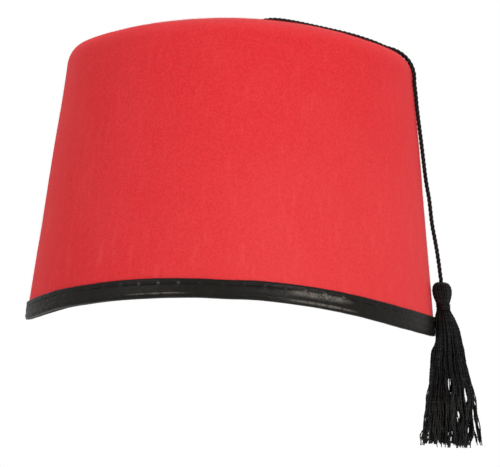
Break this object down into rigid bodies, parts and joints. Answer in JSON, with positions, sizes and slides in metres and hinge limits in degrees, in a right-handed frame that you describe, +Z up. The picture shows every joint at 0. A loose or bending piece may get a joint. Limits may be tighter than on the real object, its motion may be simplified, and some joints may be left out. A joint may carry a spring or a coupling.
{
  "type": "fez hat",
  "caption": "Red felt fez with a tapered wall, domed top, black bound rim and a cord from the top's middle that carries a tassel past the rim.",
  "frame": {"origin": "centre of the rim's opening, where a head goes in, level with the rim's lowest points", "axes": "+Z up out of the top, +X towards the side the tassel hangs on, -Y towards the front"},
  "size_m": [0.2111, 0.1898, 0.1947],
  "materials": {
    "felt": "matt pressed felt",
    "binding": "soft black vinyl",
    "yarn": "silky twisted yarn"
  },
  "bodies": {
    "root": {"crown": "felt", "brim_binding": "binding", "tassel_cord": "yarn", "cord_knot": "yarn", "tassel_head": "yarn", "tassel_neck": "yarn", "tassel_skirt": "yarn"}
  },
  "joints": []
}
